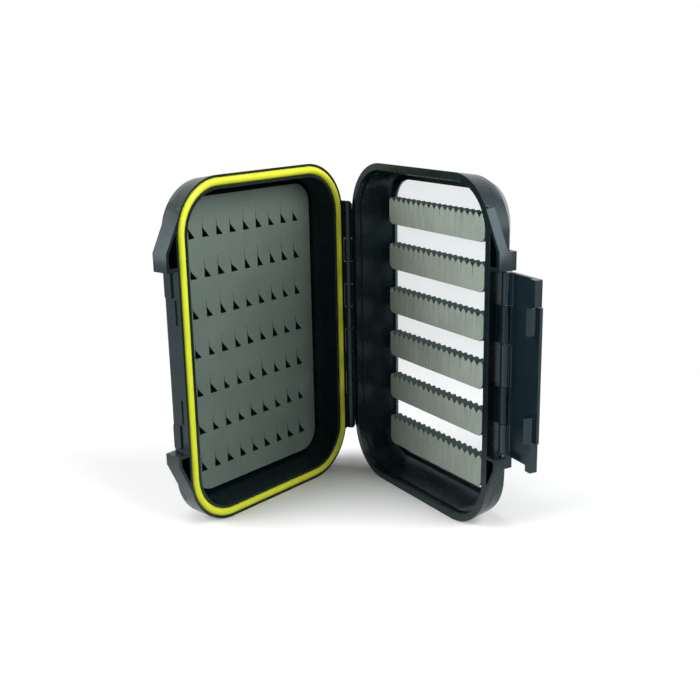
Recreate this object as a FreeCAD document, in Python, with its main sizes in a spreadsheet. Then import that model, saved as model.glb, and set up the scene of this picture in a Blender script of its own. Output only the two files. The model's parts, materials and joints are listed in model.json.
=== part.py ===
import FreeCAD, Part
import math
import os
import Sketcher

Vector = FreeCAD.Vector
Rotation = FreeCAD.Rotation
Placement = FreeCAD.Placement

# A clamshell fly box for anglers, standing open on its end. Two moulded trays meet on a pin hinge.
# The base holds a sealing ring and a slit foam sheet, the lid a clear window with six rows of
# notched foam, and a wide snap latch hangs on the lid's free side.
#
# Each tray is drawn in its own directions: x runs from the hinge axis to the free side, y along the
# hinge axis from the tray's mid height, and z from the plane where the trays meet into the tray.

# Driving sizes in millimetres, angles in degrees, and plain counts and shares.
driving = [
    ("trayHeight", 146.0, "outside height of a tray"),
    ("trayWidth", 99.0, "outside width of a tray, hinge side to free side"),
    ("trayDepth", 20.3, "depth of a tray behind its rim"),
    ("trayCorner", 23.0, "outer corner radius of a tray"),
    ("hingeSetback", 3.0, "hinge axis to the hinge side of a tray"),
    ("rimGap", 0.5, "rim face to the plane where the trays meet"),
    ("bandDepth", 10.8, "depth of the outer band behind the rim"),
    ("bandDraft", 1.7, "how far the band draws in from the rim to its back"),
    ("backInsetHinge", 4.0, "how far the back draws in on the hinge side"),
    ("backInsetFree", 12.8, "how far the back draws in on the free side"),
    ("backInsetEnd", 5.5, "how far the back draws in at both ends"),
    ("backCorner", 15.5, "corner radius of the back"),
    ("backRound", 0.8, "rounding of the back edge"),
    ("floorThickness", 2.6, "thickness of a tray's floor"),
    ("cavityStraight", 7.5, "depth of the cavity's straight wall behind the rim"),
    ("openAngle", 71.5, "angle between the open trays"),
    ("overrun", 1.0, "how far a cut runs past the solid or a boss runs into it"),
    ("baseRimWidth", 5.8, "width of the base's rim"),
    ("baseFloorInsetHinge", 8.65, "base floor outline from the hinge side"),
    ("baseFloorInsetFree", 13.4, "base floor outline from the free side"),
    ("baseFloorInsetEnd", 9.45, "base floor outline from both ends"),
    ("baseFloorCorner", 9.5, "corner radius of the base's floor outline"),
    ("lidRimWidth", 3.0, "width of the lid's rim"),
    ("lidStepDepth", 3.0, "depth of the step inside the lid's rim"),
    ("lidStepWidth", 0.8, "width of the step inside the lid's rim"),
    ("lidFloorInsetHinge", 6.6, "lid floor outline from the hinge side"),
    ("lidFloorInsetFree", 13.0, "lid floor outline from the free side"),
    ("lidFloorInsetEnd", 6.9, "lid floor outline from both ends"),
    ("lidFloorCorner", 12.0, "corner radius of the lid's floor outline"),
    ("gasketDiameter", 3.4, "thickness of the sealing ring"),
    ("gasketInset", 2.75, "centre line of the sealing ring from the outer face"),
    ("gasketProud", 0.85, "how far the sealing ring stands out of the rim"),
    ("gasketClearance", 0.05, "room around the sealing ring in its groove"),
    ("foamThickness", 5.1, "thickness of the slit foam sheet"),
    ("foamClearance", 0.25, "room between the foam sheet and the tray"),
    ("slitFirst", 18.1, "first column of slits from the hinge side"),
    ("slitLast", 18.9, "last column of slits from the free side"),
    ("slitColumns", 9, "columns of slits"),
    ("slitTopRoom", 26.3, "foot of the top row of slits from the tray's top"),
    ("slitFootRoom", 18.9, "foot of the last row of slits from the tray's lower end"),
    ("slitRows", 7, "rows of slits"),
    ("slitWidth", 3.5, "width of a slit's open triangle"),
    ("slitHeight", 4.2, "height of a slit's open triangle"),
    ("slitTail", 4.6, "length of the cut above a slit's triangle"),
    ("slitCut", 0.4, "width of the cut above a slit's triangle"),
    ("slitDepth", 3.4, "depth of a slit"),
    ("windowInsetHinge", 8.6, "window opening from the hinge side"),
    ("windowInsetFree", 16.5, "window opening from the free side"),
    ("windowInsetEnd", 8.6, "window opening from both ends"),
    ("windowCorner", 11.5, "corner radius of the window opening"),
    ("windowFlange", 1.5, "how far the window's edge reaches under the floor"),
    ("windowEdge", 1.4, "thickness of the window's edge"),
    ("windowPane", 2.4, "thickness of the window inside the opening"),
    ("windowClearance", 0.25, "room around the window in its opening"),
    ("stripThickness", 5.0, "thickness of a foam strip"),
    ("stripHeight", 11.9, "height of a foam strip"),
    ("stripTopRoom", 22.7, "centre of the top foam strip from the tray's top"),
    ("stripFootRoom", 20.3, "centre of the last foam strip from the tray's lower end"),
    ("stripMargin", 2.7, "foam strip to the side of the window opening"),
    ("stripTopRound", 1.8, "rounding of a strip's top corners"),
    ("stripFootRound", 3.0, "rounding of a strip's bottom corners"),
    ("toothCount", 17, "notches of a strip"),
    ("toothDepth", 1.2, "depth of a notch"),
    ("toothSlit", 5.6, "length of the cut below a notch"),
    ("toothCut", 0.3, "width of the cut below a notch"),
    ("knuckleRadius", 2.2, "outer radius of the hinge knuckles"),
    ("knuckleLength", 10.66, "length of a short hinge knuckle with its gap"),
    ("hingeEndRoom", 18.3, "end of the hinge from the tray's end"),
    ("knuckleGap", 0.3, "gap between two knuckles"),
    ("knuckleWebDepth", 6.0, "where a knuckle's web meets the tray's side"),
    ("hingePinRadius", 1.0, "radius of the hinge pin"),
    ("pinHold", 0.01, "room around a pin where it is held"),
    ("pinRun", 0.06, "room around a pin where a part turns on it"),
    ("pinShort", 0.4, "how far a pin ends inside its outer bore"),
    ("hingeEndDrop", 3.9, "how far the ends of the hinge slope back over the barrel"),
    ("hingePinShort", 2.3, "how far the hinge pin ends inside the hinge"),
    ("earStart", 37.6, "inner end of a corner guard from mid height"),
    ("earFlat", 7.4, "length of the flat face of an upper corner guard"),
    ("earFlatFoot", 4.7, "length of the flat face of a lower corner guard"),
    ("earEndRoom", 12.0, "far end of a corner guard from the tray's end"),
    ("earOut", 5.6, "corner guard's flat face from the free side"),
    ("earSink", 2.9, "how deep an upper guard's far end lies inside the corner"),
    ("earSinkFoot", 3.5, "how deep a lower guard's far end lies inside the corner"),
    ("earWall", 1.4, "wall of a corner guard"),
    ("earDepthBase", 8.0, "depth of the base's corner guards behind the rim"),
    ("earDepthLid", 4.3, "depth of the lid's corner guards behind the rim"),
    ("earWeb", 1.2, "web that closes a corner guard behind"),
    ("bossDepth", 8.4, "depth of the latch pin's bosses behind the rim"),
    ("latchOut", 2.9, "latch axis from the free side"),
    ("latchBack", 6.8, "latch axis from the plane where the trays meet"),
    ("latchBarrel", 2.1, "outer radius of the latch knuckles and lugs"),
    ("latchPinRadius", 0.8, "radius of the latch pin"),
    ("latchPlate", 1.9, "thickness of the latch plate"),
    ("latchLength", 19.3, "latch axis to the latch's free end"),
    ("latchGap", 0.7, "room between the latch's ends and the corner guards"),
    ("latchRelief", 0.5, "room between the lugs and the latch plate"),
    ("latchOpen", 85.0, "angle of the open latch from its shut place"),
    ("lipThickness", 3.3, "thickness of the latch's lip"),
    ("lipDepth", 3.4, "depth of the latch's lip with the plate"),
    ("lipOverhang", 1.5, "how far the lip's lower end reaches past the plate"),
    ("hookDepth", 5.9, "depth of the latch's two hooks with the plate"),
    ("hookStart", 16.0, "inner end of a hook from mid height"),
    ("hookLength", 10.5, "length of a hook"),
    ("hookChamfer", 1.2, "lead-in chamfer of a hook"),
    ("thumbReach", 1.5, "how far the thumb edge reaches past the lip"),
    ("thumbRound", 1.2, "rounding of the thumb edge"),
    ("lugStart", 8.9, "inner end of a latch lug from mid height"),
    ("lugLength", 15.0, "length of a latch lug"),
    ("lugGap", 0.3, "gap between a lug and a latch knuckle"),
    ("railDepth", 8.3, "depth of the catch rail behind the rim"),
    ("catchPocketStart", 15.4, "inner end of a catch pocket from mid height"),
    ("catchPocketLength", 10.4, "length of a catch pocket"),
    ("catchPocketFront", 0.4, "catch pocket behind the rim"),
    ("catchPocketWidth", 2.8, "width of a catch pocket"),
    ("catchPocketDepth", 0.5, "depth of a catch pocket"),
    ("padOut", 0.75, "how far the end pads stand out of the free side"),
    ("padStart", 26.5, "inner end of an end pad from mid height"),
    ("padLength", 10.0, "length of an end pad"),
    ("padDepth", 4.2, "depth of an end pad"),
]

stripTotal = 6
knuckleTotal = 9
roundingSteps = 1
ringFlats = 12
sameplace = 1e-4

doc = FreeCAD.newDocument("FlyBox")
sheet = doc.addObject("Spreadsheet::Sheet", "sizes")
for row, (alias, value, note) in enumerate(driving, start=1):
    sheet.set("A%d" % row, alias)
    sheet.set("B%d" % row, str(value))
    sheet.set("C%d" % row, note)
    sheet.setAlias("B%d" % row, alias)
doc.recompute()


class Size:
    """A size worked out from the sheet: its value now, and the text that binds it to the cells."""

    def __init__(self, text, value):
        self.text = text
        self.value = float(value)

    def combine(self, other, sign, result, swapped=False):
        text = other.text if isinstance(other, Size) else repr(other)
        pair = (text, self.text) if swapped else (self.text, text)
        return Size("(%s %s %s)" % (pair[0], sign, pair[1]), result)

    def __add__(self, other):
        return self.combine(other, "+", self.value + amount(other))

    def __radd__(self, other):
        return self.combine(other, "+", amount(other) + self.value, True)

    def __sub__(self, other):
        return self.combine(other, "-", self.value - amount(other))

    def __rsub__(self, other):
        return self.combine(other, "-", amount(other) - self.value, True)

    def __mul__(self, other):
        return self.combine(other, "*", self.value * amount(other))

    def __rmul__(self, other):
        return self.combine(other, "*", amount(other) * self.value, True)

    def __truediv__(self, other):
        return self.combine(other, "/", self.value / amount(other))

    def __neg__(self):
        return self * -1


def amount(item):
    return item.value if isinstance(item, Size) else float(item)


def ordered(one, other):
    """Two sizes, the lower one first."""
    return (one, other) if one.value < other.value else (other, one)


class SheetSizes:
    """Every alias of the sheet, read as a Size."""

    def __getattr__(self, alias):
        return Size("sizes." + alias, sheet.get(alias))


s = SheetSizes()
zero = Size("0", 0)


def bind(item, path, size):
    item.setExpression(path, size.text)


def newBody(label):
    body = doc.addObject("PartDesign::Body", label)
    body.Label = label
    return body


def newSketch(body, name, role, offset):
    """A sketch on one of the body's own planes, moved along that plane's normal."""
    plane = [item for item in body.Origin.OriginFeatures if item.Role == role][0]
    sketch = body.newObject("Sketcher::SketchObject", name)
    sketch.AttachmentSupport = [(plane, "")]
    sketch.MapMode = "FlatFace"
    bind(sketch, "AttachmentOffset.Base.z", offset)
    return sketch


def pin(sketch, geometry, end, x, y):
    """Holds one point of a sketch at x and y from its origin."""
    for kind, size in (("DistanceX", x), ("DistanceY", y)):
        index = sketch.addConstraint(Sketcher.Constraint(kind, -1, 1, geometry, end, size.value))
        bind(sketch, "Constraints[%d]" % index, size)


def polygon(sketch, corners):
    first = sketch.GeometryCount
    for here, there in zip(corners, corners[1:] + corners[:1]):
        start = Vector(here[0].value, here[1].value, 0)
        end = Vector(there[0].value, there[1].value, 0)
        sketch.addGeometry(Part.LineSegment(start, end))
    for step, corner in enumerate(corners):
        before = first + (step - 1) % len(corners)
        sketch.addConstraint(Sketcher.Constraint("Coincident", before, 2, first + step, 1))
        pin(sketch, first + step, 1, corner[0], corner[1])


def rectangle(sketch, left, right, bottom, top):
    polygon(sketch, [(left, bottom), (right, bottom), (right, top), (left, top)])


def circle(sketch, x, y, radius):
    centre = Vector(x.value, y.value, 0)
    index = sketch.addGeometry(Part.Circle(centre, Vector(0, 0, 1), radius.value))
    pin(sketch, index, 3, x, y)
    number = sketch.addConstraint(Sketcher.Constraint("Radius", index, radius.value))
    bind(sketch, "Constraints[%d]" % number, radius)


def roundedRectangle(sketch, left, right, bottom, top, lowRound, highRound, split=False):
    """A rectangle with rounded corners. With split, its left side is two lines that meet at y = 0."""
    corners = [
        (right, bottom, lowRound, (0, 1), (-1, 0)),
        (right, top, highRound, (-1, 0), (0, -1)),
        (left, top, highRound, (0, -1), (1, 0)),
        (left, bottom, lowRound, (1, 0), (0, 1)),
    ]
    ends = []
    for x, y, radius, ahead, behind in corners:
        enter = (x + radius * behind[0], y + radius * behind[1])
        leave = (x + radius * ahead[0], y + radius * ahead[1])
        middle = (x + radius * (ahead[0] + behind[0]), y + radius * (ahead[1] + behind[1]))
        ends.append((enter, leave, middle, radius))
    lines = []
    for step in range(len(corners)):
        start = ends[step][1]
        end = ends[(step + 1) % len(corners)][0]
        if split and step == 2:
            half = (start[0], zero)
            lines.append((start, half))
            lines.append((half, end))
        else:
            lines.append((start, end))
    for start, end in lines:
        edge = Part.LineSegment(Vector(start[0].value, start[1].value, 0),
                                Vector(end[0].value, end[1].value, 0))
        index = sketch.addGeometry(edge)
        pin(sketch, index, 1, start[0], start[1])
        pin(sketch, index, 2, end[0], end[1])
    for enter, leave, middle, radius in ends:
        centre = Vector(middle[0].value, middle[1].value, 0)
        ring = Part.Circle(centre, Vector(0, 0, 1), radius.value)
        first = ring.parameter(Vector(enter[0].value, enter[1].value, 0))
        last = ring.parameter(Vector(leave[0].value, leave[1].value, 0))
        index = sketch.addGeometry(Part.ArcOfCircle(ring, first, last))
        pin(sketch, index, 1, enter[0], enter[1])
        pin(sketch, index, 2, leave[0], leave[1])
        number = sketch.addConstraint(Sketcher.Constraint("Radius", index, radius.value))
        bind(sketch, "Constraints[%d]" % number, radius)


def pad(body, name, sketch, length):
    feature = body.newObject("PartDesign::Pad", name)
    feature.Profile = sketch
    bind(feature, "Length", length)
    return feature


def pocket(body, name, sketch, length):
    """A cut that runs the same way as a pad from the same sketch."""
    feature = body.newObject("PartDesign::Pocket", name)
    feature.Profile = sketch
    feature.Reversed = True
    bind(feature, "Length", length)
    return feature


def loft(body, name, kind, sketches):
    feature = body.newObject("PartDesign::" + kind, name)
    feature.Profile = sketches[0]
    feature.Sections = sketches[1:]
    feature.Ruled = True
    return feature


def layer(body, name, operation, draw, start, length):
    """A pad or pocket whose outline lies in the tray's plane and which runs into the tray."""
    sketch = newSketch(body, name + "Sketch", "XY_Plane", start)
    draw(sketch)
    return operation(body, name, sketch, length)


def along(body, name, operation, draw, low, high):
    """A pad or pocket whose outline is a section across the hinge axis, from low to high."""
    sketch = newSketch(body, name + "Sketch", "XZ_Plane", -high)
    draw(sketch)
    return operation(body, name, sketch, high - low)


freeSide = s.hingeSetback + s.trayWidth
halfHeight = s.trayHeight / 2
bandBack = s.rimGap + s.bandDepth
trayBack = s.rimGap + s.trayDepth
floorFace = trayBack - s.floorThickness
cavityBend = s.rimGap + s.cavityStraight
latchAxis = freeSide + s.latchOut


def outline(sketch, insetHinge, insetFree, insetEnd, corner, split=False, insetFoot=None):
    """A rounded outline drawn in from the tray's outer faces."""
    left = s.hingeSetback + insetHinge
    right = freeSide - insetFree
    top = halfHeight - insetEnd
    foot = top if insetFoot is None else halfHeight - insetFoot
    roundedRectangle(sketch, left, right, -foot, top, corner, corner, split)


def moulding(body, footDraft):
    """The outer form of a tray: a drafted band, then sides that draw in to a bevelled back."""
    front = newSketch(body, "RimSketch", "XY_Plane", s.rimGap)
    outline(front, zero, zero, zero, s.trayCorner)
    wide = newSketch(body, "BandBackSketch", "XY_Plane", bandBack)
    outline(wide, s.bandDraft, s.bandDraft, s.bandDraft, s.trayCorner - s.bandDraft,
            insetFoot=footDraft)
    rings = [front, wide]
    # The sides run straight to where the back edge begins, then turn in by equal angles.
    straightShare = 1 - s.backRound / (s.trayDepth - s.bandDepth)
    for step in range(roundingSteps + 1):
        angle = math.radians(90) * step / roundingSteps
        inward = s.backRound * (1 - math.cos(angle))
        ring = newSketch(body, "BackSketch%d" % step, "XY_Plane",
                         trayBack - s.backRound * (1 - math.sin(angle)))
        outline(ring, s.backInsetHinge * straightShare + inward,
                s.backInsetFree * straightShare + inward,
                s.backInsetEnd * straightShare + inward,
                s.backCorner)
        rings.append(ring)
    loft(body, "DrawnBack", "AdditiveLoft", rings)


def hollow(body, rimWidth, floor):
    """The cavity: a straight wall behind the rim, then sides that draw in to the floor."""
    straight = s.trayCorner - rimWidth
    layer(body, "Cavity", pocket,
          lambda sketch: outline(sketch, rimWidth, rimWidth, rimWidth, straight),
          zero, cavityBend)
    wide = newSketch(body, "CavityBendSketch", "XY_Plane", cavityBend)
    outline(wide, rimWidth, rimWidth, rimWidth, straight)
    narrow = newSketch(body, "FloorSketch", "XY_Plane", floorFace)
    outline(narrow, floor[0], floor[1], floor[2], floor[3])
    loft(body, "DrawnCavity", "SubtractiveLoft", [wide, narrow])


def knuckleSpans(parity):
    """Ends of the hinge knuckles of one tray: even places on the base, odd ones on the lid."""
    shorts = knuckleTotal - 2
    spans = []
    reach = hingeReach()
    for place in range(knuckleTotal):
        if place % 2 != parity:
            continue
        low = s.knuckleLength * (place - 1 - shorts / 2)
        high = low + s.knuckleLength
        if place == 0:
            low = -reach
        if place == knuckleTotal - 1:
            high = reach
        spans.append((low + s.knuckleGap / 2, high - s.knuckleGap / 2))
    return spans


def hingeKnuckles(body, parity, room):
    """The knuckles of one tray, their webs to its side, and the bore through them."""
    webShare = 0.6
    webDropShare = 0.75
    radius = s.knuckleRadius
    inside = s.hingeSetback + s.bandDraft + s.overrun
    for place, (low, high) in enumerate(knuckleSpans(parity)):
        along(body, "Knuckle%d" % place, pad, lambda sketch: circle(sketch, zero, zero, radius),
              low, high)
        web = [
            (zero, s.rimGap),
            (inside, s.rimGap),
            (inside, s.knuckleWebDepth),
            (-radius * webShare, radius * webDropShare),
        ]
        along(body, "KnuckleWeb%d" % place, pad, lambda sketch: polygon(sketch, web), low, high)
    reach = hingeReach()
    along(body, "HingeBore", pocket, lambda sketch: circle(sketch, zero, zero, s.hingePinRadius + room),
          -reach, reach)


def hingeRail(body, reach):
    """The rail on a tray's side that closes the gap to the other tray's knuckles."""
    near = s.knuckleRadius + s.knuckleGap
    inside = s.hingeSetback + s.bandDraft + s.overrun
    along(body, "HingeRail", pad,
          lambda sketch: rectangle(sketch, near, inside, s.rimGap, s.knuckleWebDepth), -reach, reach)


def hingeEnds(body):
    """The slopes at both ends of the hinge, over the barrel."""
    startShare = 0.45
    reach = hingeReach()
    side = s.knuckleRadius + s.overrun
    for name, way in (("Top", 1), ("Foot", -1)):
        slope = [
            (s.knuckleRadius * startShare, reach * way),
            (-side, (reach - s.hingeEndDrop) * way),
            (-side, (reach + s.overrun) * way),
            (s.knuckleRadius * startShare, (reach + s.overrun) * way),
        ]
        layer(body, "HingeEnd" + name, pocket, lambda sketch: polygon(sketch, slope), -side, side * 2)


def hingeReach():
    """Half the length of the whole hinge."""
    return halfHeight - s.hingeEndRoom


def guardEnds(footWay):
    """Both corner guards of a tray: name, way from mid height, flat length and sink. footWay is the
    way to the tray's lower end."""
    upper = (s.earFlat, s.earSink)
    lower = (s.earFlatFoot, s.earSinkFoot)
    return [("Top", 1, *(lower if footWay > 0 else upper)),
            ("Foot", -1, *(lower if footWay < 0 else upper))]


def cornerGuards(body, depth, footWay):
    """Two curved guards beside the latch, flat at the latch and running out on the corners."""
    face = freeSide + s.earOut
    end = halfHeight - s.earEndRoom
    for name, side, flat, sink in guardEnds(footWay):
        root = freeSide - sink - s.overrun
        edge = [
            (root, s.earStart * side),
            (face, s.earStart * side),
            (face, (s.earStart + flat) * side),
            (freeSide - sink, end * side),
            (root, end * side),
        ]
        layer(body, "Guard" + name, pad, lambda sketch: polygon(sketch, edge), s.rimGap, depth)


def guardHollows(body, depth, footWay):
    """The gap behind each guard, open to the front."""
    inner = s.earOut - s.earWall
    # The sloping part of the wall is as thick square to its face as the flat part.
    slantShare = 1.118
    for name, side, flat, sink in guardEnds(footWay):
        slope = (s.earOut + sink) / (halfHeight - s.earEndRoom - s.earStart - flat)
        far = s.earStart + flat + (s.earOut - s.earWall * slantShare) / slope
        bend = s.earStart + flat - s.earWall * (slantShare - 1) / slope
        gap = [
            (freeSide, (s.earStart + s.earWall) * side),
            (freeSide + inner, (s.earStart + s.earWall) * side),
            (freeSide + inner, bend * side),
            (freeSide, far * side),
        ]
        layer(body, "GuardGap" + name, pocket, lambda sketch: polygon(sketch, gap),
              zero, s.rimGap + depth - s.earWeb)


def ringGroove(body):
    """The groove in the base's rim that the sealing ring lies in."""
    reach = s.gasketDiameter / 2 + s.gasketClearance
    depth = s.gasketDiameter - s.gasketProud + s.gasketClearance
    outer = s.gasketInset - reach
    inner = s.gasketInset + reach

    def draw(sketch):
        outline(sketch, outer, outer, outer, s.trayCorner - outer)
        outline(sketch, inner, inner, inner, s.trayCorner - inner)

    layer(body, "RingGroove", pocket, draw, s.rimGap, depth)


def catch(body):
    """What the latch grips: a rail on the base's free side with two pockets and two end pads."""
    railBack = s.rimGap + s.railDepth
    outer = freeSide + s.earOut
    root = freeSide - s.bandDraft - s.overrun
    railEnd = s.earStart + s.overrun
    layer(body, "Rail", pad, lambda sketch: rectangle(sketch, root, freeSide, -railEnd, railEnd),
          s.rimGap, s.railDepth)
    for name, side in (("Top", 1), ("Foot", -1)):
        start = s.catchPocketStart * side
        end = (s.catchPocketStart + s.catchPocketLength) * side
        layer(body, "CatchPocket" + name, pocket,
              lambda sketch: rectangle(sketch, freeSide - s.catchPocketDepth, outer, start, end),
              s.rimGap + s.catchPocketFront, s.catchPocketWidth)
        start = s.padStart * side
        end = (s.padStart + s.padLength) * side
        layer(body, "Pad" + name, pad,
              lambda sketch: rectangle(sketch, freeSide - s.overrun, freeSide + s.padOut, start, end),
              railBack - s.padDepth, s.padDepth)


def baseShell():
    """The base tray. Its foot is square to the rim, so that it stands."""
    body = newBody("base_shell")
    moulding(body, zero)
    cornerGuards(body, s.earDepthBase, -1)
    hingeKnuckles(body, 0, s.pinHold)
    hingeRail(body, hingeReach())
    hingeEnds(body)
    catch(body)
    hollow(body, s.baseRimWidth,
           (s.baseFloorInsetHinge, s.baseFloorInsetFree, s.baseFloorInsetEnd, s.baseFloorCorner))
    ringGroove(body)
    guardHollows(body, s.earDepthBase, -1)
    return body


def windowOpening(body):
    """The hole in the lid's floor and the seat behind it for the window's edge."""
    layer(body, "WindowHole", pocket,
          lambda sketch: outline(sketch, s.windowInsetHinge, s.windowInsetFree, s.windowInsetEnd,
                                 s.windowCorner),
          floorFace - s.overrun, s.floorThickness + s.overrun * 2)
    seat = s.windowFlange
    layer(body, "WindowSeat", pocket,
          lambda sketch: outline(sketch, s.windowInsetHinge - seat, s.windowInsetFree - seat,
                                 s.windowInsetEnd - seat, s.windowCorner + seat),
          trayBack - s.windowEdge, s.windowEdge + s.overrun)


def latchLugs(body):
    """The two lugs and the two end bosses that hold the latch pin, and the bore through them."""
    low = s.latchBack - s.latchBarrel
    high = s.latchBack + s.latchBarrel
    root = freeSide - s.bandDraft - s.overrun
    for name, side, flat, sink in guardEnds(1):
        ends = ordered(s.lugStart * side, (s.lugStart + s.lugLength) * side)
        along(body, "LugRound" + name, pad,
              lambda sketch: circle(sketch, latchAxis, s.latchBack, s.latchBarrel),
              ends[0], ends[1])
        along(body, "LugWeb" + name, pad,
              lambda sketch: rectangle(sketch, root, latchAxis, low, high),
              ends[0], ends[1])
        layer(body, "Boss" + name, pad,
              lambda sketch: rectangle(sketch, root, freeSide + s.earOut, s.earStart * side,
                                       (s.earStart + flat) * side),
              s.rimGap + s.earDepthLid - s.earWeb, s.bossDepth - s.earDepthLid + s.earWeb)
    reach = s.earStart + s.earFlat + s.overrun
    along(body, "LatchBore", pocket,
          lambda sketch: circle(sketch, latchAxis, s.latchBack, s.latchPinRadius + s.pinHold),
          -reach, reach)


def lidShell():
    """The lid tray, with a step inside its rim."""
    body = newBody("lid_shell")
    moulding(body, s.bandDraft)
    cornerGuards(body, s.earDepthLid, 1)
    hingeKnuckles(body, 1, s.pinRun)
    hingeRail(body, hingeReach() - s.hingeEndDrop)
    hollow(body, s.lidRimWidth + s.lidStepWidth,
           (s.lidFloorInsetHinge, s.lidFloorInsetFree, s.lidFloorInsetEnd, s.lidFloorCorner))
    layer(body, "RimStep", pocket,
          lambda sketch: outline(sketch, s.lidRimWidth, s.lidRimWidth, s.lidRimWidth,
                                 s.trayCorner - s.lidRimWidth),
          zero, s.rimGap + s.lidStepDepth)
    guardHollows(body, s.earDepthLid, 1)
    windowOpening(body)
    latchLugs(body)
    return body


def gasket():
    """The sealing ring, one round cord drawn with flats, in the groove of the base's rim."""
    body = newBody("gasket")
    radius = s.gasketDiameter / 2
    centre = s.rimGap - s.gasketProud + radius
    path = newSketch(body, "RingPath", "XY_Plane", centre)
    outline(path, s.gasketInset, s.gasketInset, s.gasketInset, s.trayCorner - s.gasketInset, True)
    section = newSketch(body, "RingSection", "XZ_Plane", zero)
    corners = []
    for flat in range(ringFlats):
        angle = 2 * math.pi * flat / ringFlats
        corners.append((s.hingeSetback + s.gasketInset + radius * math.cos(angle),
                        centre + radius * math.sin(angle)))
    polygon(section, corners)
    ring = body.newObject("PartDesign::AdditivePipe", "Ring")
    ring.Profile = section
    ring.Spine = (path, ["Edge%d" % (number + 1) for number in range(path.GeometryCount)])
    return body


def slitFoam():
    """The foam sheet on the base's floor, with rows of slits that open into small triangles."""
    body = newBody("slit_foam")
    gap = s.foamClearance
    front = floorFace - s.foamThickness
    layer(body, "Sheet", pad,
          lambda sketch: outline(sketch, s.baseFloorInsetHinge + gap, s.baseFloorInsetFree + gap,
                                 s.baseFloorInsetEnd + gap, s.baseFloorCorner - gap),
          front, s.foamThickness)
    left = s.hingeSetback + s.slitFirst - s.slitWidth / 2
    right = left + s.slitWidth
    foot = halfHeight - s.slitTopRoom
    apex = foot + s.slitHeight
    corner = apex - s.slitHeight * s.slitCut / s.slitWidth
    slit = [
        (left, foot),
        (right, foot),
        (right, apex + s.slitTail),
        (right - s.slitCut, apex + s.slitTail),
        (right - s.slitCut, corner),
    ]
    first = layer(body, "Slit", pocket, lambda sketch: polygon(sketch, slit), front, s.slitDepth)
    pattern(body, "Slits", first, s.trayWidth - s.slitFirst - s.slitLast, s.slitColumns,
            s.trayHeight - s.slitTopRoom - s.slitFootRoom, s.slitRows)
    return body


def pattern(body, name, feature, span, count, rowSpan=None, rows=None):
    """Copies a cut over a span along x and, where rows are given, downwards along y too."""
    sketch = feature.Profile[0]
    copies = body.newObject("PartDesign::LinearPattern", name)
    copies.Originals = [feature]
    copies.Direction = (sketch, ["H_Axis"])
    bind(copies, "Length", span)
    bind(copies, "Occurrences", count)
    if rows is not None:
        copies.Direction2 = (sketch, ["V_Axis"])
        copies.Reversed2 = True
        bind(copies, "Length2", rowSpan)
        bind(copies, "Occurrences2", rows)
    body.Tip = copies


def lidWindow():
    """The clear window: a pane that fills the opening, on a thinner edge behind the floor."""
    body = newBody("lid_window")
    gap = s.windowClearance
    reach = s.windowFlange - gap
    layer(body, "Edge", pad,
          lambda sketch: outline(sketch, s.windowInsetHinge - reach, s.windowInsetFree - reach,
                                 s.windowInsetEnd - reach, s.windowCorner + reach),
          trayBack - s.windowEdge, s.windowEdge)
    layer(body, "Pane", pad,
          lambda sketch: outline(sketch, s.windowInsetHinge + gap, s.windowInsetFree + gap,
                                 s.windowInsetEnd + gap, s.windowCorner - gap),
          trayBack - s.windowPane, s.windowPane)
    return body


def foamStrip(place):
    """One foam strip on the window. V notches with a cut below each line its upper edge."""
    body = newBody("foam_strip_%d" % (place + 1))
    left = s.hingeSetback + s.windowInsetHinge + s.stripMargin
    length = s.trayWidth - s.windowInsetHinge - s.windowInsetFree - s.stripMargin * 2
    pitch = length / (s.toothCount + 1)
    stripPitch = (s.trayHeight - s.stripTopRoom - s.stripFootRoom) / (stripTotal - 1)
    centre = halfHeight - s.stripTopRoom - stripPitch * place
    # The lid is drawn turned over, so its upper edges have the lower values of y.
    upper = -centre - s.stripHeight / 2
    lower = -centre + s.stripHeight / 2
    back = trayBack - s.windowPane
    front = back - s.stripThickness
    layer(body, "Strip", pad,
          lambda sketch: roundedRectangle(sketch, left, left + length, upper, lower,
                                          s.stripTopRound, s.stripFootRound),
          front, s.stripThickness)
    middle = left + pitch
    half = pitch / 2
    cut = s.toothCut / 2
    valley = upper + s.toothDepth
    outside = s.toothDepth / 2
    notch = [
        (middle - half * (outside + s.toothDepth) / s.toothDepth, upper - outside),
        (middle + half * (outside + s.toothDepth) / s.toothDepth, upper - outside),
        (middle + cut, valley),
        (middle + cut, valley + s.toothSlit),
        (middle - cut, valley + s.toothSlit),
        (middle - cut, valley),
    ]
    first = layer(body, "Notch", pocket, lambda sketch: polygon(sketch, notch),
                  front - s.overrun, s.stripThickness + s.overrun * 2)
    pattern(body, "Notches", first, length - pitch * 2, s.toothCount)
    return body


def hingePin():
    body = newBody("hinge_pin")
    reach = hingeReach() - s.hingePinShort
    along(body, "Rod", pad, lambda sketch: circle(sketch, zero, zero, s.hingePinRadius), -reach, reach)
    return body


def latchPin():
    body = newBody("latch_pin")
    along(body, "Rod", pad,
          lambda sketch: circle(sketch, latchAxis, s.latchBack, s.latchPinRadius),
          -(s.earStart + s.earFlat - s.pinShort), s.earStart + s.earFlatFoot - s.pinShort)
    return body


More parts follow.
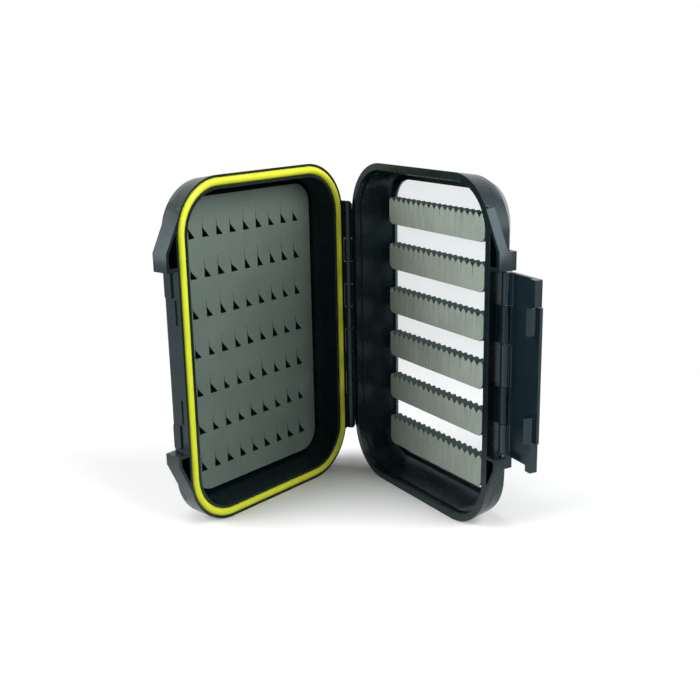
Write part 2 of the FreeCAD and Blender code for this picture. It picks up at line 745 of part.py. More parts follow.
def latch():
    """The latch, drawn shut about its own axis: x points away from the box, z into the lid."""
    body = newBody("latch")
    halfLatch = s.earStart - s.latchGap
    face = s.latchBarrel
    inner = face - s.latchPlate
    plateStart = s.latchBarrel + s.latchRelief
    lipInner = s.latchLength - s.lipThickness
    along(body, "Plate", pad,
          lambda sketch: rectangle(sketch, inner, face, -s.latchLength, -plateStart),
          -halfLatch, halfLatch)
    lugEnd = s.lugStart + s.lugLength + s.lugGap
    middle = s.lugStart - s.lugGap
    spans = [(-middle, middle), (lugEnd, halfLatch), (-halfLatch, -lugEnd)]
    for place, (low, high) in enumerate(spans):
        along(body, "Barrel%d" % place, pad, lambda sketch: circle(sketch, zero, zero, face), low, high)
        along(body, "BarrelWeb%d" % place, pad,
              lambda sketch: rectangle(sketch, zero, face, -plateStart - s.overrun, zero), low, high)
    lipEnd = halfLatch + s.lipOverhang
    hookEnd = s.hookStart + s.hookLength
    for name, low, high in (("Foot", hookEnd, lipEnd), ("Top", -halfLatch, -hookEnd)):
        along(body, "Lip" + name, pad,
              lambda sketch: rectangle(sketch, face - s.lipDepth, face, -s.latchLength, -lipInner),
              low, high)
    thumbEnd = s.latchLength + s.thumbReach
    along(body, "Thumb", pad,
          lambda sketch: rectangle(sketch, face - s.lipDepth + s.thumbReach, face, -thumbEnd, -lipInner),
          -hookEnd, hookEnd)
    tip = face - s.hookDepth
    hook = [
        (inner + s.overrun / 2, -lipInner),
        (tip, -lipInner),
        (tip, -s.latchLength + s.hookChamfer),
        (tip + s.hookChamfer, -s.latchLength),
        (inner + s.overrun / 2, -s.latchLength),
    ]
    for name, side in (("Top", 1), ("Foot", -1)):
        ends = ordered(s.hookStart * side, hookEnd * side)
        along(body, "Hook" + name, pad, lambda sketch: polygon(sketch, hook), ends[0], ends[1])
    along(body, "LatchBore", pocket,
          lambda sketch: circle(sketch, zero, zero, s.latchPinRadius + s.pinRun),
          -lipEnd, lipEnd)
    doc.recompute()
    roundThumb(body, face.value, thumbEnd.value)
    return body


def roundThumb(body, face, end):
    """Rounds the outer edge of the thumb grip."""
    base = body.Tip
    names = []
    for index, edge in enumerate(base.Shape.Edges, start=1):
        onEdge = all(abs(vertex.X - face) < sameplace and abs(vertex.Z + end) < sameplace
                     for vertex in edge.Vertexes)
        if onEdge:
            names.append("Edge%d" % index)
    rounding = body.newObject("PartDesign::Fillet", "ThumbRounding")
    rounding.Base = (base, names)
    bind(rounding, "Radius", s.thumbRound)
    body.Tip = rounding


# Every tray stands on its lower end. The origin is the centre of the flat band at the foot of the
# base, and the box opens towards -Y and -X.
hingePoint = Vector(
    (s.hingeSetback + s.trayWidth / 2).value,
    -(s.rimGap + s.bandDepth / 2).value,
    halfHeight.value,
)
up = Vector(0, 0, 1)
baseTurn = Rotation(Vector(-1, 0, 0), Vector(0, 0, 1), Vector(0, 1, 0), "XYZ")
shutTurn = Rotation(Vector(-1, 0, 0), Vector(0, 0, -1), Vector(0, -1, 0), "XYZ")
basePlace = Placement(hingePoint, baseTurn)
lidPlace = Placement(hingePoint, Rotation(up, s.openAngle.value) * shutTurn)
latchMove = Placement(
    Vector(latchAxis.value, 0, s.latchBack.value),
    Rotation(Vector(0, -1, 0), s.latchOpen.value),
)
latchPlace = lidPlace * latchMove

pieces = []
for maker in (baseShell, gasket, slitFoam, hingePin):
    pieces.append((maker(), basePlace))
for maker in (lidShell, lidWindow, latchPin):
    pieces.append((maker(), lidPlace))
for strip in range(stripTotal):
    pieces.append((foamStrip(strip), lidPlace))
pieces.append((latch(), latchPlace))
doc.recompute()

for body, place in pieces:
    body.Placement = place
doc.recompute()

# Nothing is written unless every feature is sound and every cut takes something away.
for item in doc.Objects:
    if "Invalid" in item.State or "Error" in item.State:
        raise RuntimeError("%s failed: %s" % (item.Label, item.State))
for body, place in pieces:
    before = None
    for feature in body.Group:
        if not feature.isDerivedFrom("PartDesign::Feature"):
            continue
        volume = feature.Shape.Volume
        cuts = feature.TypeId in ("PartDesign::Pocket", "PartDesign::SubtractiveLoft")
        if before is not None and (volume >= before if cuts else volume == before):
            raise RuntimeError("%s of %s changes nothing" % (feature.Label, body.Label))
        before = volume
    shape = body.Shape
    if shape.isNull() or not shape.isValid() or len(shape.Solids) != 1:
        raise RuntimeError("%s is not one sound solid" % body.Label)

os.makedirs("parts", exist_ok=True)
for body, place in pieces:
    body.Shape.exportStep("parts/%s.step" % body.Label)
    print("%-16s %10.1f mm3" % (body.Label, body.Shape.Volume))
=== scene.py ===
import json
import math

import bmesh
import bpy
from mathutils import Matrix, Vector


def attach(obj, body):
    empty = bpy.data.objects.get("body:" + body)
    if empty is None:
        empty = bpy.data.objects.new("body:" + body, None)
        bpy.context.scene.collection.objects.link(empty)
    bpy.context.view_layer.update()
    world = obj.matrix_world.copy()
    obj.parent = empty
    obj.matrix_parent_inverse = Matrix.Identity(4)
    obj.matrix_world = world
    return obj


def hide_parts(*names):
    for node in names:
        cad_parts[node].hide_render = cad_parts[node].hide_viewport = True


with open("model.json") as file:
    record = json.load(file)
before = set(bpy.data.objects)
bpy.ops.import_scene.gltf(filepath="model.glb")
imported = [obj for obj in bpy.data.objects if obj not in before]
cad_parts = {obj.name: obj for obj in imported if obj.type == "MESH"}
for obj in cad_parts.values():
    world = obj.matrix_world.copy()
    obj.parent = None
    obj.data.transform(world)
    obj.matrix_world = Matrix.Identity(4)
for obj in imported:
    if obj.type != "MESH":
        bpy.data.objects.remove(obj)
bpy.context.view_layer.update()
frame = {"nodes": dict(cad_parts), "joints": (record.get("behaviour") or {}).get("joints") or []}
mm = 0.001

# The box is drawn in its own directions: u runs from the hinge to the free side, v up along the
# hinge, and w from the plane where the trays meet into the tray.
hinge = next(joint for joint in frame["joints"] if joint["name"] == "lid_hinge")
hingePoint = Vector(hinge["pos_m"])
openTurn = math.radians(-hinge["range_deg"][0])


def trayFrame(uDirection, wDirection):
    turn = Matrix((uDirection, (0, 0, 1), wDirection)).transposed()
    return Matrix.Translation(hingePoint) @ turn.to_4x4()


baseFrame = trayFrame((-1, 0, 0), (0, 1, 0))
lidFrame = trayFrame((-math.cos(openTurn), -math.sin(openTurn), 0),
                     (math.sin(openTurn), -math.cos(openTurn), 0))
print("frame loaded")


# A socket that can be calculated with.
class Link:
    def __init__(self, tree, socket):
        self.tree = tree
        self.socket = socket

    def maths(self, operation, *values, clamp=False):
        settings = {"operation": operation, "use_clamp": clamp}
        return self.tree.add("ShaderNodeMath", settings, dict(enumerate(values)))

    def __add__(self, other):
        return self.maths("ADD", self, other)

    def __radd__(self, other):
        return self.maths("ADD", other, self)

    def __sub__(self, other):
        return self.maths("SUBTRACT", self, other)

    def __rsub__(self, other):
        return self.maths("SUBTRACT", other, self)

    def __mul__(self, other):
        return self.maths("MULTIPLY", self, other)

    def __rmul__(self, other):
        return self.maths("MULTIPLY", other, self)

    def above(self, low, high):  # 0 below low, 1 above high, straight between
        return self.maths("MULTIPLY_ADD", self, 1 / (high - low), -low / (high - low), clamp=True)


class Tree:
    def __init__(self, nodeTree):
        self.nodes = nodeTree.nodes
        self.links = nodeTree.links
        self.nodes.clear()

    # Adds a node: its settings first, then values or links by socket. Gives one output.
    def add(self, kind, settings=None, values=None, output=0):
        made = self.nodes.new(kind)
        for name, value in (settings or {}).items():
            setattr(made, name, value)
        for name, value in (values or {}).items():
            for item in value if isinstance(value, list) else [value]:
                if isinstance(item, Link):
                    self.links.new(item.socket, made.inputs[name])
                else:
                    made.inputs[name].default_value = item
        return Link(self, made.outputs[output]) if made.outputs else None

    def place(self):
        return self.add("ShaderNodeTexCoord", output="Object")

    def noise(self, place, scale, detail=2.0, roughness=0.5):
        return self.add("ShaderNodeTexNoise", None,
                        {"Vector": place, "Scale": scale, "Detail": detail, "Roughness": roughness})

    # Long streaks: noise on a place that is turned and stretched.
    def streaks(self, place, turn, stretch, detail):
        stretched = self.add("ShaderNodeMapping", None,
                             {"Vector": place, "Rotation": turn, "Scale": stretch})
        return self.noise(stretched, 1.0, detail)

    def mix(self, share, first, second):
        colours = [(*item, 1) if isinstance(item, tuple) else item for item in (first, second)]
        return self.add("ShaderNodeMix", {"data_type": "RGBA"},
                        {0: share, 6: colours[0], 7: colours[1]}, output=2)

    def bump(self, strength, depth, height):
        return self.add("ShaderNodeBump", None,
                        {"Strength": strength, "Distance": depth, "Height": height})

    def xyz(self, x=0.0, y=0.0, z=0.0):
        return self.add("ShaderNodeCombineXYZ", None, {"X": x, "Y": y, "Z": z})


def newPaint(name):
    material = bpy.data.materials.new(name)
    material.use_nodes = True
    return material, Tree(material.node_tree)


def finishPaint(material, paint, values, kind="ShaderNodeBsdfPrincipled"):
    surface = paint.add(kind, None, values)
    paint.add("ShaderNodeOutputMaterial", None, {"Surface": surface})
    return material


# Dark moulded plastic: cloudy colour, fine mould grain and faint handling marks.
def mouldedPlastic(name, look):
    material, paint = newPaint(name)
    place = paint.place()
    cloud = paint.noise(place, look["cloudScale"], detail=3)
    smudge = paint.noise(place, look["smudgeScale"], detail=4, roughness=0.6)
    smudge = smudge.above(*look["smudgeEnds"])
    grain = paint.noise(place, look["grainScale"])
    hair = paint.streaks(place, look["hairTurn"], look["hairStretch"], detail=1)
    hair = hair.above(*look["hairEnds"])
    colour = paint.mix(cloud.above(*look["cloudEnds"]), look["dark"], look["light"])
    dusty = smudge * look["smudge"] + hair * look["hair"]
    rough = look["rough"] + smudge * look["smudgeRough"] + (cloud - 0.5) * look["cloudRough"]
    return finishPaint(material, paint, {
        "Base Color": paint.mix(dusty, colour, look["dust"]),
        "Roughness": rough,
        "Normal": paint.bump(look["bump"], look["bumpDepth"], grain - hair * look["hairDepth"]),
        "IOR": look["ior"],
        "Specular IOR Level": look["shine"],
        "Specular Tint": look["shineTint"],
    })


shellLook = {
    "dark": (0.0012, 0.0050, 0.0062),
    "light": (0.0020, 0.0072, 0.0086),
    "dust": (0.022, 0.036, 0.038),
    "cloudScale": 38.0,
    "cloudEnds": (0.35, 0.65),
    "cloudRough": 0.05,
    "smudgeScale": 95.0,
    "smudgeEnds": (0.46, 0.7),
    "smudgeRough": 0.06,
    "smudge": 0.06,
    "hairTurn": (0.3, 0.2, 0.5),
    "hairStretch": (30.0, 900.0, 2600.0),
    "hairEnds": (0.70, 0.76),
    "hairDepth": 0.6,
    "hair": 0.14,
    "grainScale": 2600.0,
    "rough": 0.26,
    "bump": 0.12,
    "bumpDepth": 0.0001,
    "ior": 1.5,
    "shine": 0.33,
    "shineTint": (0.72, 0.95, 1.0, 1),
}
latchLook = dict(shellLook, dark=(0.0016, 0.0058, 0.0100), light=(0.0026, 0.0088, 0.0140),
                 rough=0.2, shine=0.5)


# Closed-cell foam: fine cells and soft blotches. Faces that don't look out at the front take the
# dark 'cut' colour, which is painted shade.
def foam(name, look):
    material, paint = newPaint(name)
    place = paint.place()
    skin = paint.add("ShaderNodeAttribute", {"attribute_name": "skin"}, output="Fac")
    cells = paint.add("ShaderNodeTexVoronoi", {"feature": "SMOOTH_F1"},
                      {"Vector": place, "Scale": look["cellScale"]})
    coarse = paint.noise(place, look["coarseScale"], detail=3, roughness=0.6)
    blotch = paint.noise(place, look["blotchScale"], detail=3)
    stripe = paint.streaks(place, (0, 0, 0), look["stripeStretch"], detail=2)
    colour = paint.mix(blotch.above(*look["blotchEnds"]), look["dark"], look["light"])
    colour = paint.mix(coarse.above(*look["coarseEnds"]) * look["coarse"], colour, look["pale"])
    colour = paint.mix(stripe.above(*look["stripeEnds"]) * look["stripe"], colour, look["pale"])
    colour = paint.mix((1 - cells.above(*look["cellEnds"])) * look["cell"], colour, look["pore"])
    height = cells * look["cellDepth"] + coarse * look["coarseDepth"]
    return finishPaint(material, paint, {
        # Faces turned away from the front take the 'cut' colour: painted shade on slit walls, notch
        # walls, tops and sides.
        "Base Color": paint.mix(skin, look["cut"], colour),
        "Roughness": look["rough"] + (coarse - 0.5) * look["coarseRough"],
        "Normal": paint.bump(look["bump"], look["bumpDepth"], height),
        "Specular IOR Level": look["shine"],
    })


sheetLook = {
    "dark": (0.122, 0.164, 0.142),
    "light": (0.146, 0.190, 0.165),
    "pale": (0.188, 0.234, 0.206),
    "pore": (0.062, 0.088, 0.074),
    # cut: painted shade, near black, for the slit walls, sides and back of the sheet
    "cut": (0.0020, 0.0070, 0.0040),
    "cellScale": 2600.0,
    "cellEnds": (0.05, 0.5),
    "cellDepth": 0.7,
    "cell": 0.3,
    "coarseScale": 900.0,
    "coarseEnds": (0.5, 0.8),
    "coarseDepth": 0.5,
    "coarseRough": 0.1,
    "coarse": 0.5,
    "blotchScale": 55.0,
    "blotchEnds": (0.3, 0.7),
    "stripeStretch": (700.0, 700.0, 60.0),
    "stripeEnds": (0.5, 0.72),
    "stripe": 0.0,
    "rough": 0.88,
    "bump": 0.5,
    "bumpDepth": 0.00018,
    "shine": 0.2,
}
# The strips' cut colour is painted shade for their tops, ends and notch walls.
stripLook = dict(sheetLook, dark=(0.235, 0.280, 0.245), light=(0.285, 0.330, 0.292),
                 pale=(0.370, 0.415, 0.372), pore=(0.140, 0.170, 0.150), cut=(0.040, 0.062, 0.056),
                 stripe=0.5)


# Yellow sealing rubber, slightly waxy, with a fine bloom of dust.
def sealRubber(name, look):
    material, paint = newPaint(name)
    place = paint.place()
    cloud = paint.noise(place, look["cloudScale"], detail=3)
    speck = paint.noise(place, look["speckScale"]).above(*look["speckEnds"])
    grain = paint.noise(place, look["grainScale"], detail=3)
    colour = paint.mix(cloud.above(*look["cloudEnds"]), look["deep"], look["bright"])
    return finishPaint(material, paint, {
        "Base Color": paint.mix(speck * look["speck"], colour, look["dust"]),
        "Roughness": look["rough"] + (cloud - 0.5) * look["cloudRough"],
        "Normal": paint.bump(look["bump"], look["bumpDepth"], grain),
        "Specular IOR Level": look["shine"],
    })


sealLook = {
    "deep": (0.66, 0.73, 0.018),
    "bright": (0.78, 0.85, 0.026),
    "dust": (0.50, 0.53, 0.16),
    "cloudScale": 60.0,
    "cloudEnds": (0.3, 0.7),
    "cloudRough": 0.16,
    "speckScale": 1500.0,
    "speckEnds": (0.64, 0.72),
    "speck": 0.2,
    "grainScale": 1800.0,
    "rough": 0.42,
    "bump": 0.3,
    "bumpDepth": 0.0001,
    "shine": 0.4,
}


# Clear plastic pane with faint haze and wiping marks.
def clearPane(name, look):
    material, paint = newPaint(name)
    place = paint.place()
    haze = paint.noise(place, look["hazeScale"], detail=4, roughness=0.6)
    wipe = paint.streaks(place, look["wipeTurn"], look["wipeStretch"], detail=1)
    wipe = wipe.above(*look["wipeEnds"])
    dull = haze.above(*look["dullEnds"]) * look["hazeRough"]
    veil = haze.above(*look["veilEnds"]) * look["hazeAlpha"]
    return finishPaint(material, paint, {
        "Base Color": paint.mix(haze.above(*look["tintEnds"]), look["tint"], look["white"]),
        "Roughness": look["rough"] + dull + wipe * look["wipeRough"],
        "Alpha": look["alpha"] + veil + wipe * look["wipeAlpha"],
    })


paneLook = {
    "tint": (0.22, 0.44, 0.47),
    "white": (0.32, 0.54, 0.57),
    "tintEnds": (0.3, 0.7),
    "hazeScale": 48.0,
    "dullEnds": (0.4, 0.8),
    "veilEnds": (0.35, 0.8),
    "hazeRough": 0.06,
    "hazeAlpha": 0.04,
    "wipeTurn": (0.4, 0.1, 0.9),
    "wipeStretch": (500.0, 40.0, 3000.0),
    "wipeEnds": (0.68, 0.76),
    "wipeRough": 0.12,
    "wipeAlpha": 0.05,
    "rough": 0.08,
    "alpha": 0.13,
}


# Drawn wire: bright, with lines along the pin.
def drawnSteel(name, look):
    material, paint = newPaint(name)
    lines = paint.streaks(paint.place(), (0, 0, 0), look["lineStretch"], detail=2)
    return finishPaint(material, paint, {
        "Base Color": paint.mix(lines.above(*look["lineEnds"]), look["dark"], look["light"]),
        "Metallic": 1.0,
        "Roughness": look["rough"] + lines * look["lineRough"],
        "Normal": paint.bump(look["bump"], look["bumpDepth"], lines),
    })


steelLook = {
    "dark": (0.50, 0.51, 0.52),
    "light": (0.66, 0.67, 0.68),
    "lineStretch": (9000.0, 9000.0, 120.0),
    "lineEnds": (0.3, 0.7),
    "lineRough": 0.12,
    "rough": 0.24,
    "bump": 0.2,
    "bumpDepth": 0.00004,
}

shellPlastic = mouldedPlastic("shellPlastic", shellLook)
latchPlastic = mouldedPlastic("latchPlastic", latchLook)
sheetFoam = foam("sheetFoam", sheetLook)
stripFoam = foam("stripFoam", stripLook)
yellowRubber = sealRubber("yellowRubber", sealLook)
paneClear = clearPane("paneClear", paneLook)
pinSteel = drawnSteel("pinSteel", steelLook)
print("materials made")


def newPiece(name, mesh, material):
    mesh.name = name
    mesh.materials.clear()
    mesh.materials.append(material)
    piece = bpy.data.objects.new(name, mesh)
    bpy.context.scene.collection.objects.link(piece)
    return piece


# Turns the piece with its modifiers into a plain mesh.
def settle(piece):
    state = bpy.context.evaluated_depsgraph_get()
    done = bpy.data.meshes.new_from_object(piece.evaluated_get(state))
    piece.modifiers.clear()
    piece.data = done
    done.name = piece.name


def softenEdges(piece, rounding):
    bevel = piece.modifiers.new("edges", "BEVEL")
    bevel.width = rounding["width"]
    bevel.segments = rounding["segments"]
    bevel.limit_method = "ANGLE"
    bevel.angle_limit = math.radians(rounding["angle"])
    bevel.use_clamp_overlap = False
    bevel.loop_slide = False
    bevel.harden_normals = True


def handOver(piece, body, nodes):
    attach(piece, body)
    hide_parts(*nodes)
    print(piece.name, "has", len(piece.data.polygons), "faces")


# A copy of a node's shape with rounded edges, which stands for it.
def dressed(node, name, material, body, rounding):
    shape = bmesh.new()
    shape.from_mesh(frame["nodes"][node].data)
    bmesh.ops.remove_doubles(shape, verts=shape.verts, dist=rounding["weld"])
    for face in shape.faces:
        face.smooth = True
    mesh = bpy.data.meshes.new(name)
    shape.to_mesh(mesh)
    shape.free()
    if mesh.has_custom_normals:
        mesh.attributes.remove(mesh.attributes["custom_normal"])
    piece = newPiece(name, mesh, material)
    softenEdges(piece, rounding)
    settle(piece)
    handOver(piece, body, [node])


shellRounding = {"weld": 0.002 * mm, "width": 0.12 * mm, "segments": 2, "angle": 32}
latchRounding = dict(shellRounding, width=0.14 * mm)
dressed("base_shell", "baseTray", shellPlastic, "base", shellRounding)
dressed("lid_shell", "lidTray", shellPlastic, "lid", shellRounding)
dressed("latch", "snapLatch", latchPlastic, "snap_latch", latchRounding)
dressed("lid_window", "windowPane", paneClear, "lid", shellRounding)
for pinNode in ("hinge_pin", "latch_pin"):
    frame["nodes"][pinNode].data.materials.clear()
    frame["nodes"][pinNode].data.materials.append(pinSteel)
print("trays, latch and window made")


# A geometry tree with a named input for the piece's own mesh and for each number of its sizes.
# The tuples in sizes are places and ranges, and aren't inputs.
def newGrowth(name, sizes):
    tree = bpy.data.node_groups.new(name, "GeometryNodeTree")
    growth = Tree(tree)
    tree.interface.new_socket("Geometry", in_out="OUTPUT", socket_type="NodeSocketGeometry")
    tree.interface.new_socket("Geometry", in_out="INPUT", socket_type="NodeSocketGeometry")
    labels = [label for label, value in sizes.items() if not isinstance(value, tuple)]
    for label in labels:
        kind = "NodeSocketInt" if isinstance(sizes[label], int) else "NodeSocketFloat"
        tree.interface.new_socket(label, in_out="INPUT", socket_type=kind)
    entry = growth.nodes.new("NodeGroupInput")
    size = {label: Link(growth, entry.outputs[label]) for label in ("Geometry", *labels)}
    return tree, growth, size


# Gives the piece the tree, and sets the tree's inputs.
def grow(piece, tree, sizes):
    modifier = piece.modifiers.new(tree.name, "NODES")
    modifier.node_group = tree
    for item in tree.interface.items_tree:
        if item.in_out == "INPUT" and item.name in sizes:
            modifier[item.identifier] = sizes[item.name]


def closeGrowth(growth, form, material):
    whole = growth.add("GeometryNodeRealizeInstances", None, {"Geometry": form})
    whole = growth.add("GeometryNodeSetMaterial", None, {"Geometry": whole, "Material": material})
    growth.add("NodeGroupOutput", None, {0: whole})


# A flat rectangle whose corners are rounded in steps.
def roundedOutline(growth, width, height, steps, radius):
    outline = growth.add("GeometryNodeCurvePrimitiveQuadrilateral", None,
                         {"Width": width, "Height": height})
    return growth.add("GeometryNodeFilletCurve", {"mode": "POLY"},
                      {"Curve": outline, "Count": steps, "Radius": radius})


blockWeld = 0.001 * mm


# A closed block from a flat outline, its front at depth 0.
def block(growth, outline, depth):
    face = growth.add("GeometryNodeFillCurve", {"mode": "NGONS"}, {"Curve": outline})
    back = growth.add("GeometryNodeExtrudeMesh", None,
                      {"Mesh": face, "Individual": False, "Offset": growth.xyz(z=1.0),
                       "Offset Scale": depth})
    front = growth.add("GeometryNodeFlipFaces", None, {"Mesh": face})
    both = growth.add("GeometryNodeJoinGeometry", None, {0: [front, back]})
    return growth.add("GeometryNodeMergeByDistance", None,
                      {"Geometry": both, "Distance": blockWeld})


def fourCorners(growth, *places):
    points = {"Point %d" % (index + 1): growth.xyz(*place) for index, place in enumerate(places)}
    return growth.add("GeometryNodeCurvePrimitiveQuadrilateral", {"mode": "POINTS"}, points)


def moved(growth, form, x=0.0, y=0.0, z=0.0):
    return growth.add("GeometryNodeTransform", None,
                      {"Geometry": form, "Translation": growth.xyz(x, y, z)})


def uneven(growth, ends, seed):
    return growth.add("FunctionNodeRandomValue", {"data_type": "FLOAT_VECTOR"},
                      {0: ends[0], 1: ends[1], "Seed": seed})


def spread(growth, points, form, scale, turn=(0, 0, 0)):
    many = growth.add("GeometryNodeInstanceOnPoints", None,
                      {"Points": points, "Instance": form, "Scale": scale, "Rotation": turn})
    return growth.add("GeometryNodeRealizeInstances", None, {"Geometry": many})


def cutOut(growth, whole, cutters):
    return growth.add("GeometryNodeMeshBoolean", {"operation": "DIFFERENCE", "solver": "EXACT"},
                      {"Mesh 1": whole, "Mesh 2": cutters})


# Marks how far each face of the foam looks out at the front. The material paints the other faces
# dark as painted shade.
def markPaintedShade(piece):
    marks = piece.data.attributes.new("skin", "FLOAT", "FACE")
    for face in piece.data.polygons:
        marks.data[face.index].value = min(1.0, max(0.0, -face.normal.z))


# Moves a settled mesh to its place in the tray.
def setDown(piece, tray, middle):
    place = tray @ Matrix.Translation(middle)
    piece.data.transform(place)
    if place.determinant() < 0:
        piece.data.flip_normals()


# The sealing ring: a round cord along the rim of the base.
ringSizes = {
    "width": 93.5 * mm,
    "height": 140.5 * mm,
    "corner": 20.25 * mm,
    "cornerSteps": 22,
    "thickness": 3.4 * mm,
    "sides": 24,
    "middle": (52.5 * mm, 0.0, 1.35 * mm),
}
ringTree, growth, size = newGrowth("sealRingForm", ringSizes)
path = roundedOutline(growth, size["width"], size["height"], size["cornerSteps"], size["corner"])
section = growth.add("GeometryNodeCurvePrimitiveCircle", None,
                     {"Resolution": size["sides"], "Radius": size["thickness"] * 0.5})
cord = growth.add("GeometryNodeCurveToMesh", None, {"Curve": path, "Profile Curve": section})
cord = growth.add("GeometryNodeSetShadeSmooth", None, {"Geometry": cord})
closeGrowth(growth, cord, yellowRubber)
ring = newPiece("sealRing", bpy.data.meshes.new("sealRing"), yellowRubber)
grow(ring, ringTree, ringSizes)
settle(ring)
setDown(ring, baseFrame, ringSizes["middle"])
handOver(ring, "base", ["gasket"])

# The slit foam sheet: rows of cuts that gape into small triangles, each with a fine cut above it.
sheetSizes = {
    "width": 76.45 * mm,
    "height": 126.6 * mm,
    "corner": 9.25 * mm,
    "cornerSteps": 10,
    "thickness": 5.1 * mm,
    "columns": 9,
    "rows": 7,
    "columnSpan": 62.0 * mm,
    "rowSpan": 100.8 * mm,
    "slitsAcross": 1.975 * mm,
    "slitsUp": -3.7 * mm,
    "slitWidth": 3.7 * mm,
    "slitHeight": 4.5 * mm,
    "slitBendAcross": 0.02,  # the bend of the slanted edge, as a share of half the width
    "slitBendUp": 0.51,  # and of the height
    "slitTail": 4.4 * mm,
    "slitCut": 0.26 * mm,
    "tailStart": 0.7,  # share of the slit's height
    "tailFlare": 1.5,  # width of the tail's foot, in cuts
    "slitDepth": 4.6 * mm,
    "sizeEnds": ((0.88, 0.86, 0.9), (1.08, 1.14, 1.0)),
    "sizeSeed": 4,
    "leanEnds": ((0, 0, -0.05), (0, 0, 0.035)),
    "leanSeed": 9,
    "middle": (50.125 * mm, 0.0, 13.1 * mm),
}
sheetTree, growth, size = newGrowth("slitSheetForm", sheetSizes)
edge = roundedOutline(growth, size["width"], size["height"], size["cornerSteps"], size["corner"])
slab = block(growth, edge, size["thickness"])
half = size["slitWidth"] * 0.5
tip = size["slitHeight"]
tailFoot = tip * size["tailStart"]
slit = fourCorners(growth, (0 - half, 0.0), (half, 0.0), (half, tip),
                   (half * size["slitBendAcross"], tip * size["slitBendUp"]))
tail = fourCorners(growth, (half - size["slitCut"] * size["tailFlare"], tailFoot),
                   (half, tailFoot), (half, tip + size["slitTail"]), (half - size["slitCut"], tip))
points = growth.add("GeometryNodeMeshGrid", None,
                    {"Size X": size["columnSpan"], "Size Y": size["rowSpan"],
                     "Vertices X": size["columns"], "Vertices Y": size["rows"]})
points = moved(growth, points, size["slitsAcross"], size["slitsUp"])
varied = uneven(growth, sheetSizes["sizeEnds"], size["sizeSeed"])
leaning = uneven(growth, sheetSizes["leanEnds"], size["leanSeed"])
cutters = [spread(growth, points, moved(growth, block(growth, outline, size["slitDepth"] * 2),
                                        z=0 - size["slitDepth"]), varied, leaning)
           for outline in (slit, tail)]
closeGrowth(growth, cutOut(growth, slab, cutters), sheetFoam)
sheet = newPiece("slitSheet", bpy.data.meshes.new("slitSheet"), sheetFoam)
grow(sheet, sheetTree, sheetSizes)
settle(sheet)
markPaintedShade(sheet)
setDown(sheet, baseFrame, sheetSizes["middle"])
handOver(sheet, "base", ["slit_foam"])

# The foam strips of the lid: V notches with a fine cut below each line the upper edge.
stripSizes = {
    "length": 68.5 * mm,
    "height": 11.9 * mm,
    "thickness": 5.0 * mm,
    "topRound": 1.8 * mm,
    "footRound": 3.0 * mm,
    "roundSteps": 8,
    "notches": 17,
    "notchPitch": 3.806 * mm,
    "notchReach": 0.49,  # share of the pitch, to each side
    "notchDepth": 1.9 * mm,
    "notchShoulder": 0.04,  # shares of the notch's depth, above the strip's edge
    "notchTop": 1.5,
    "cutShoulder": -0.6,
    "cutTop": 0.2,
    "cutLength": 5.6 * mm,
    "cutWidth": 0.2 * mm,
    "notchEnds": ((0.96, 0.85, 1), (1.0, 1.1, 1)),
    "cutEnds": ((0.1, 0.5, 1), (1.4, 1.08, 1)),
    "seed": 1,
    "cutSeedStep": 40,
}
stripRows = {
    "count": 6,
    "top": (48.55 * mm, 50.3 * mm, 13.4 * mm),
    "pitch": 20.6 * mm,
    "lastExtra": 2.2 * mm,  # the lowest strip reaches further down, to the frame
    "rounding": {"width": 0.35 * mm, "segments": 3, "angle": 50},
}
slabTree, growth, size = newGrowth("stripSlabForm", stripSizes)
isTopCorner = growth.add("ShaderNodeMath", {"operation": "LESS_THAN"},
                         {0: growth.add("GeometryNodeInputIndex"), 1: 1.5})
radius = size["footRound"] + (size["topRound"] - size["footRound"]) * isTopCorner
edge = roundedOutline(growth, size["length"], size["height"], size["roundSteps"], radius)
closeGrowth(growth, block(growth, edge, size["thickness"]), stripFoam)

notchTree, growth, size = newGrowth("stripNotchForm", stripSizes)
reach = size["notchPitch"] * size["notchReach"]
depth = size["notchDepth"]
shoulder = depth * size["notchShoulder"]
notch = fourCorners(growth, (0.0, 0 - depth), (reach, shoulder), (0.0, depth * size["notchTop"]),
                    (0 - reach, shoulder))
cutHalf = size["cutWidth"] * 0.5
cutShoulder = depth * size["cutShoulder"]
cut = fourCorners(growth, (0.0, 0 - depth - size["cutLength"]), (cutHalf, cutShoulder),
                  (0.0, depth * size["cutTop"]), (0 - cutHalf, cutShoulder))
start = growth.xyz(size["notchPitch"] * (size["notches"] - 1) * -0.5, size["height"] * 0.5,
                   size["thickness"] * -0.5)
row = growth.add("GeometryNodeMeshLine", {"mode": "OFFSET"},
                 {"Count": size["notches"], "Start Location": start,
                  "Offset": growth.xyz(size["notchPitch"])})
notchScale = uneven(growth, stripSizes["notchEnds"], size["seed"])
cutScale = uneven(growth, stripSizes["cutEnds"], size["seed"] + size["cutSeedStep"])
cutters = [spread(growth, row, block(growth, outline, size["thickness"] * 2), scale)
           for outline, scale in ((notch, notchScale), (cut, cutScale))]
closeGrowth(growth, cutOut(growth, size["Geometry"], cutters), stripFoam)
across, up, deep = stripRows["top"]
for number in range(stripRows["count"]):
    name = "foamStrip%d" % (number + 1)
    extra = stripRows["lastExtra"] if number == stripRows["count"] - 1 else 0
    sizes = dict(stripSizes, seed=number + 1, height=stripSizes["height"] + extra)
    strip = newPiece(name, bpy.data.meshes.new(name), stripFoam)
    grow(strip, slabTree, sizes)
    softenEdges(strip, stripRows["rounding"])
    grow(strip, notchTree, sizes)
    settle(strip)
    markPaintedShade(strip)
    setDown(strip, lidFrame, (across, up - stripRows["pitch"] * number - extra * 0.5, deep))
    handOver(strip, "lid", ["foam_strip_%d" % (number + 1)])
print("seal and foam made")

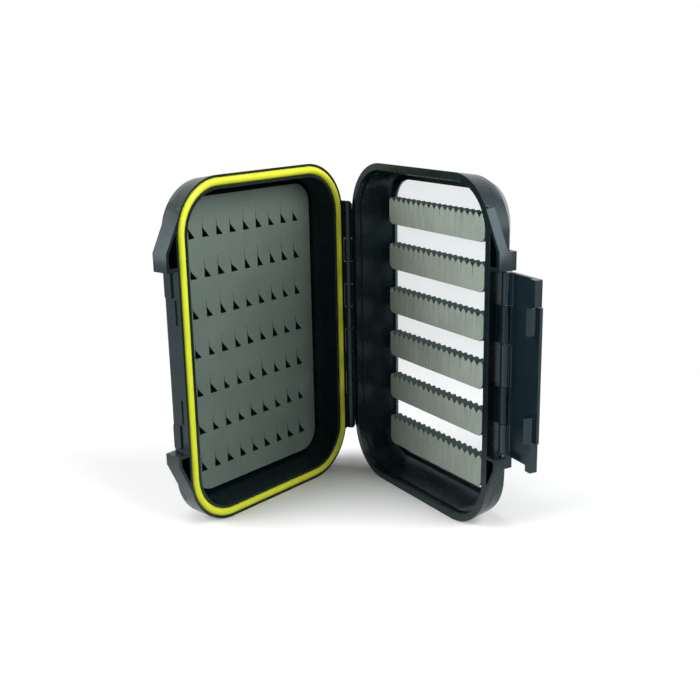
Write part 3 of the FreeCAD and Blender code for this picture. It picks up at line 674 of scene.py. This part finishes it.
# The studio: a pale floor, soft lamps, and a white surround behind and under the box.
studio = {
    "floorSize": 4.0,
    "floorColour": (0.96, 0.96, 0.96),
    "floorHeld": (0.15, 0.15, 0.15),
    "floorPaintEnds": 0.12,  # metres from the middle
    "floorWhiteFrom": 0.3,
    "floorBounce": 0.15,
    "worldLevel": 0.04,
    "lamps": [  # name, place, width and watts
        ("leftLamp", (-1.14, 0.56, 0.66), 1.1, 29.0),
        ("rightLamp", (0.26, -1.12, 0.68), 1.2, 25.0),
        ("topLamp", (0.10, 0.35, 1.2), 0.9, 6.0),
    ],
    "aim": (0.0, -0.05, 0.07),
}
fullWhite = (1, 1, 1, 1)


def lamp(name, place, width, power):
    data = bpy.data.lights.new(name, "AREA")
    data.size = width
    data.energy = power
    piece = bpy.data.objects.new(name, data)
    piece.location = place
    toward = Vector(studio["aim"]) - Vector(place)
    piece.rotation_euler = toward.to_track_quat("-Z", "Y").to_euler()
    bpy.context.scene.collection.objects.link(piece)


for settings in studio["lamps"]:
    lamp(*settings)

world = bpy.data.worlds.new("studioWorld")
world.use_nodes = True
air = Tree(world.node_tree)
seen = air.add("ShaderNodeLightPath", output="Is Camera Ray")
for kind in ("Is Glossy Ray", "Is Transmission Ray"):
    seen = seen.maths("MAXIMUM", seen, air.add("ShaderNodeLightPath", output=kind))
glow = studio["worldLevel"] + seen * (1 - studio["worldLevel"])
sky = air.add("ShaderNodeBackground", None, {"Color": fullWhite, "Strength": glow})
air.add("ShaderNodeOutputWorld", None, {"Surface": sky})
bpy.context.scene.world = world

floorMesh = bpy.data.meshes.new("floor")
far = studio["floorSize"]
floorCorners = [(-far, -far, 0), (far, -far, 0), (far, far, 0), (-far, far, 0)]
floorMesh.from_pydata(floorCorners, [], [(0, 1, 2, 3)])
floorPaint, paint = newPaint("floorPaint")
away = paint.add("ShaderNodeVectorMath", {"operation": "LENGTH"}, {0: paint.place()},
                 output="Value")
# Light that the floor throws back at the box is held down, and the floor looks as pale as ever.
unseen = paint.add("ShaderNodeLightPath", output="Is Diffuse Ray")
held = paint.mix(unseen, studio["floorColour"], studio["floorHeld"])
matt = paint.add("ShaderNodeBsdfDiffuse", None, {"Color": held})
white = paint.add("ShaderNodeEmission", None,
                  {"Color": fullWhite, "Strength": 1 - unseen * (1 - studio["floorBounce"])})
faded = away.above(studio["floorPaintEnds"], studio["floorWhiteFrom"])
finishPaint(floorPaint, paint, {0: faded, 1: matt, 2: white}, "ShaderNodeMixShader")
newPiece("floor", floorMesh, floorPaint)

shot = {
    "place": (-0.3080, -0.30965, 0.1852),
    "ahead": (0.7378, 0.6217, -0.2629),
    "lean": -1.06,
    "lens": 52.97,
    "sensor": 36,
}
lens = bpy.data.cameras.new("camera")
lens.lens = shot["lens"]
lens.sensor_width = shot["sensor"]
camera = bpy.data.objects.new("camera", lens)
back = -Vector(shot["ahead"]).normalized()
side = Vector((0, 0, 1)).cross(back).normalized()
turn = Matrix((side, back.cross(side), back)).transposed().to_4x4()
camera.matrix_world = (Matrix.Translation(shot["place"]) @ turn
                       @ Matrix.Rotation(math.radians(shot["lean"]), 4, "Z"))
bpy.context.scene.collection.objects.link(camera)
bpy.context.scene.camera = camera
bpy.context.scene.view_settings.view_transform = "Standard"
print("studio and camera made")
